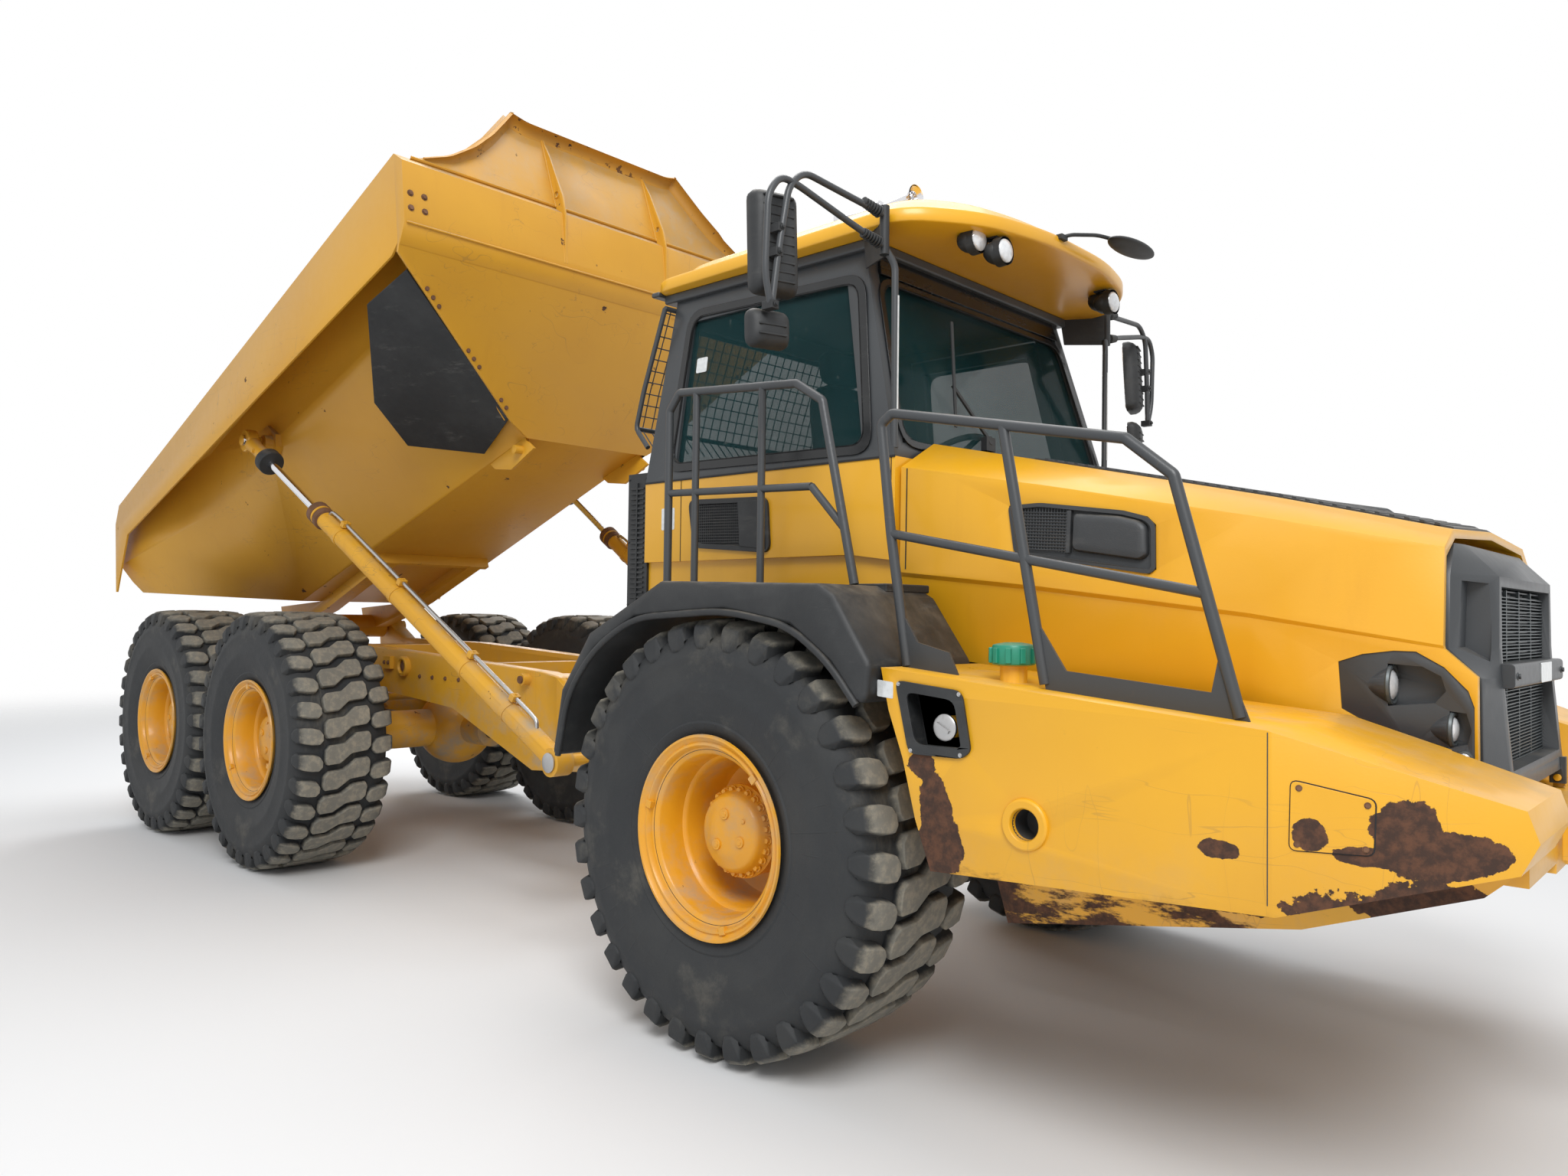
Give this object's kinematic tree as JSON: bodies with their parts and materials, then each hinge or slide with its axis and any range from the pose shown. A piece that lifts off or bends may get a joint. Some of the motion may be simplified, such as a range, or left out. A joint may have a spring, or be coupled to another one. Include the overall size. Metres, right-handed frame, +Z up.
{
  "type": "articulated dump truck",
  "caption": "Articulated dump truck on six wheels, hinged behind the cab, with its load bin partly raised on twin side hoists.",
  "frame": {"origin": "middle of the machine's outline on the ground", "axes": "+X forward, +Y to the operator's left, +Z up"},
  "size_m": [9.681, 3.08, 4.5865],
  "materials": {
    "body_yellow": "orange-yellow enamel, chipped to rust",
    "bin_yellow": "ochre enamel, scratched and dusty",
    "chassis_yellow": "yellow enamel under dust",
    "dark_grey": "dark grey satin",
    "black_plastic": "grained moulded plastic",
    "tyre": "worn and dusty",
    "rubber": "dull",
    "glass": "green tinted",
    "steel": "bright",
    "chrome": "polished",
    "cast": "oiled and dusty",
    "trim": "woven"
  },
  "bodies": {
    "front_frame": {"chassis_front": "chassis_yellow", "engine_block": "cast", "front_axle": "chassis_yellow", "nose_beam": "body_yellow", "sills": "body_yellow", "mudguards": "black_plastic", "cab_shell": "body_yellow", "cab_frame": "dark_grey", "cab_glass": "glass", "cab_roof": "body_yellow", "operator_seat": "trim", "dashboard": "black_plastic", "intake_box": "black_plastic", "handrails": "dark_grey", "mirrors": "black_plastic", "roof_lamps": "black_plastic", "horn": "chrome", "access_steps": "dark_grey"},
    "hood": {"hood_shell": "body_yellow", "grille": "dark_grey", "headlamps": "dark_grey", "hood_vents": "dark_grey"},
    "cab_door": {"cab_door": "dark_grey", "door_glass": "glass"},
    "hitch": {"hitch_yoke": "chassis_yellow"},
    "rear_frame": {"rear_frame": "chassis_yellow", "rear_axles": "chassis_yellow", "walking_beams": "chassis_yellow", "prop_shafts": "cast"},
    "bin": {"bin_floor": "bin_yellow", "bin_sides": "bin_yellow", "bin_headboard": "bin_yellow", "bin_subframe": "chassis_yellow", "bin_mats": "rubber"},
    "hoist_barrel_right": {"hoist_barrel_right": "chassis_yellow"},
    "hoist_rod_right": {"hoist_rod_right": "chrome"},
    "wheel_front_right": {"tyre_front_right": "tyre", "rim_front_right": "body_yellow"},
    "wheel_middle_right": {"tyre_middle_right": "tyre", "rim_middle_right": "body_yellow"},
    "wheel_rear_right": {"tyre_rear_right": "tyre", "rim_rear_right": "body_yellow"},
    "hoist_barrel_left": {"hoist_barrel_left": "chassis_yellow"},
    "hoist_rod_left": {"hoist_rod_left": "chrome"},
    "wheel_front_left": {"tyre_front_left": "tyre", "rim_front_left": "body_yellow"},
    "wheel_middle_left": {"tyre_middle_left": "tyre", "rim_middle_left": "body_yellow"},
    "wheel_rear_left": {"tyre_rear_left": "tyre", "rim_rear_left": "body_yellow"}
  },
  "joints": [
    {"name": "steer", "type": "hinge", "parent": "front_frame", "child": "hitch", "pos_m": [0.819, 0, 0.95], "axis": [0, 0, 1], "range_deg": [-45, 45]},
    {"name": "frame_roll", "type": "hinge", "parent": "hitch", "child": "rear_frame", "pos_m": [0.269, 0, 0.95], "axis": [1, 0, 0], "range_deg": [-15, 15]},
    {"name": "bin_tip", "type": "hinge", "parent": "rear_frame", "child": "bin", "pos_m": [-3.931, 0, 1.5], "axis": [0, -1, 0], "range_deg": [-20.1, 49.9]},
    {"name": "hood_tilt", "type": "hinge", "parent": "front_frame", "child": "hood", "pos_m": [4.493, 0, 1.098], "axis": [0, 1, 0], "range_deg": [0, 55]},
    {"name": "door_swing", "type": "hinge", "parent": "front_frame", "child": "cab_door", "pos_m": [1.449, 0.925, 1.8], "axis": [0, -0.0639, 0.998], "range_deg": [0, 80]},
    {"name": "hoist_swing_right", "type": "hinge", "parent": "rear_frame", "child": "hoist_barrel_right", "pos_m": [0.519, -0.923, 0.876], "axis": [0, 1, 0], "range_deg": [-2, 2]},
    {"name": "hoist_slide_right", "type": "slide", "parent": "hoist_barrel_right", "child": "hoist_rod_right", "axis": [-0.8541, -0.0856, 0.513], "range_m": [-0.6, 1.485]},
    {"name": "hoist_swing_left", "type": "hinge", "parent": "rear_frame", "child": "hoist_barrel_left", "pos_m": [0.519, 0.923, 0.876], "axis": [0, 1, 0], "range_deg": [-2, 2]},
    {"name": "hoist_slide_left", "type": "slide", "parent": "hoist_barrel_left", "child": "hoist_rod_left", "axis": [-0.8541, 0.0856, 0.513], "range_m": [-0.6, 1.485]},
    {"name": "roll_front_right", "type": "hinge", "parent": "front_frame", "child": "wheel_front_right", "pos_m": [2.169, -1.178, 0.8085], "axis": [0, 1, 0], "continuous": true},
    {"name": "roll_front_left", "type": "hinge", "parent": "front_frame", "child": "wheel_front_left", "pos_m": [2.169, 1.178, 0.8085], "axis": [0, 1, 0], "continuous": true},
    {"name": "roll_middle_right", "type": "hinge", "parent": "rear_frame", "child": "wheel_middle_right", "pos_m": [-2.012, -1.178, 0.8085], "axis": [0, 1, 0], "continuous": true},
    {"name": "roll_middle_left", "type": "hinge", "parent": "rear_frame", "child": "wheel_middle_left", "pos_m": [-2.012, 1.178, 0.8085], "axis": [0, 1, 0], "continuous": true},
    {"name": "roll_rear_right", "type": "hinge", "parent": "rear_frame", "child": "wheel_rear_right", "pos_m": [-3.682, -1.178, 0.8085], "axis": [0, 1, 0], "continuous": true},
    {"name": "roll_rear_left", "type": "hinge", "parent": "rear_frame", "child": "wheel_rear_left", "pos_m": [-3.682, 1.178, 0.8085], "axis": [0, 1, 0], "continuous": true}
  ],
  "couplings": [
    {"joint": "hoist_swing_right", "follows": "bin_tip", "ratio": -0.01},
    {"joint": "hoist_slide_right", "follows": "bin_tip", "m_per_rad": 1.7},
    {"joint": "hoist_swing_left", "follows": "bin_tip", "ratio": -0.01},
    {"joint": "hoist_slide_left", "follows": "bin_tip", "m_per_rad": 1.7}
  ]
}
